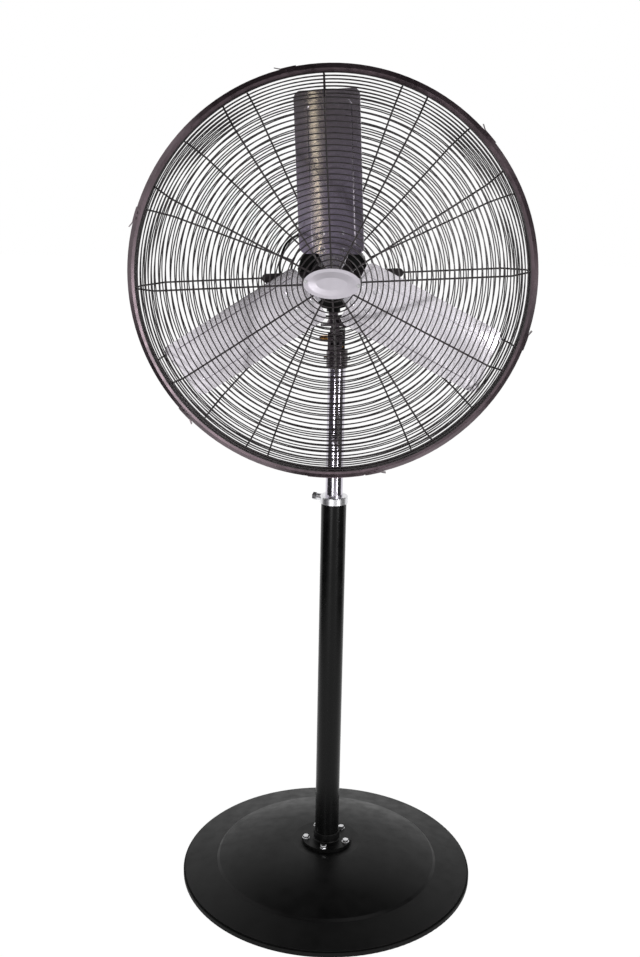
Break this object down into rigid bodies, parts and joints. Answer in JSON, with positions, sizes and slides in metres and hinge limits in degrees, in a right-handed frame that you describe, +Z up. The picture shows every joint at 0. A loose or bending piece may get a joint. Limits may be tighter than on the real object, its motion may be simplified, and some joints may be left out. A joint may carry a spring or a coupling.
{
  "type": "industrial pedestal fan",
  "caption": "Floor-standing industrial pedestal fan: caged pitched-blade rotor on a tilting, swivelling motor head over a height-adjustable column and round weighted base.",
  "frame": {"origin": "on the floor, at the centre of the base under the column", "axes": "+Z up, -Y towards the side that the fan blows to, +X to the right seen from the front"},
  "size_m": [0.8099, 0.684, 1.829],
  "materials": {
    "ballast_iron": "rough cast, painted black",
    "base_paint": "semi-gloss black powder coat",
    "rubber_trim": "matt black",
    "column_paint": "gloss black powder coat",
    "bright_fastener": "bright zinc plate",
    "guide_plastic": "natural nylon",
    "collar_alloy": "satin silver",
    "mast_chrome": "polished",
    "sleeve_paint": "gloss black",
    "brass": "polished brass",
    "black_plastic": "matt black",
    "knob_plastic": "satin black with a pale pointer",
    "motor_paint": "semi-gloss black",
    "core_steel": "ground steel",
    "winding_copper": "varnished copper wire",
    "lead_rubber": "matt black sheath",
    "guard_paint": "dark grey-brown gloss enamel",
    "hoop_paint": "semi-gloss grey enamel",
    "badge_silver": "satin silver",
    "spider_steel": "zinc plated",
    "blade_aluminium": "mill finish, lightly satined"
  },
  "bodies": {
    "stand": {"base_ballast": "ballast_iron", "base_cover": "base_paint", "base_edge_trim": "rubber_trim", "column_flange": "column_paint", "flange_washers": "bright_fastener", "flange_bolts": "bright_fastener", "column_tube": "column_paint", "column_bushing": "guide_plastic", "clamp_collar": "collar_alloy"},
    "clamp_screw": {"clamp_screw": "bright_fastener"},
    "mast": {"mast_tube": "mast_chrome", "mast_end_guide": "guide_plastic"},
    "swivel": {"swivel_sleeve": "sleeve_paint", "swivel_set_screws": "bright_fastener", "tilt_clevis": "sleeve_paint", "tilt_bolt": "bright_fastener", "switch_box": "black_plastic", "switch_box_cover": "black_plastic", "box_screws": "bright_fastener", "rotary_switch": "black_plastic", "capacitor": "black_plastic", "cable_gland": "black_plastic", "earth_screw": "brass"},
    "wing_nut": {"tilt_wing_nut": "brass"},
    "knob": {"speed_knob": "knob_plastic"},
    "head": {"tilt_bracket": "sleeve_paint", "motor_shell": "motor_paint", "motor_front_bell": "motor_paint", "motor_rear_bell": "motor_paint", "bell_screws": "bright_fastener", "stator_core": "core_steel", "stator_windings": "winding_copper", "bearing_outer_races": "core_steel", "motor_lead": "lead_rubber", "lead_glands": "black_plastic", "front_face_rings": "guard_paint", "front_side_rings": "guard_paint", "front_ribs": "guard_paint", "rear_face_rings": "guard_paint", "rear_side_rings": "guard_paint", "rear_ribs": "guard_paint", "rim_hoop": "hoop_paint", "hoop_joint_strap": "hoop_paint", "guard_clips": "hoop_paint", "clip_screws": "bright_fastener", "guard_centre_disc": "guard_paint", "badge_plate": "badge_silver", "badge_studs": "bright_fastener", "guard_mount_strap": "guard_paint", "strap_screws": "bright_fastener"},
    "rotor": {"motor_shaft": "core_steel", "rotor_core": "core_steel", "bearing_inner_races": "core_steel", "bearing_balls": "core_steel", "hub_spider": "spider_steel", "fan_blade_1": "blade_aluminium", "fan_blade_2": "blade_aluminium", "fan_blade_3": "blade_aluminium", "blade_rivets": "blade_aluminium", "hub_set_screw": "bright_fastener"}
  },
  "joints": [
    {"name": "clamp_screw_turn", "type": "hinge", "parent": "stand", "child": "clamp_screw", "pos_m": [0, 0, 0.926], "axis": [-0.9063, 0.4226, 0], "range_deg": [0, 360]},
    {"name": "mast_height", "type": "slide", "parent": "stand", "child": "mast", "axis": [0, 0, 1], "range_m": [-0.28, 0.28]},
    {"name": "head_swivel", "type": "hinge", "parent": "mast", "child": "swivel", "pos_m": [0, 0, 1.24], "axis": [0, 0, 1], "range_deg": [-90, 90]},
    {"name": "wing_nut_turn", "type": "hinge", "parent": "swivel", "child": "wing_nut", "pos_m": [-0.028, 0, 1.282], "axis": [1, 0, 0], "range_deg": [0, 360]},
    {"name": "speed_knob_turn", "type": "hinge", "parent": "swivel", "child": "knob", "pos_m": [0, 0.07, 1.2745], "axis": [0, 1, 0], "range_deg": [0, 180]},
    {"name": "head_tilt", "type": "hinge", "parent": "swivel", "child": "head", "pos_m": [0, 0, 1.282], "axis": [1, 0, 0], "range_deg": [-35, 10]},
    {"name": "rotor_spin", "type": "hinge", "parent": "head", "child": "rotor", "pos_m": [-0.0127, 0, 1.424], "axis": [0, -1, 0], "continuous": true}
  ]
}
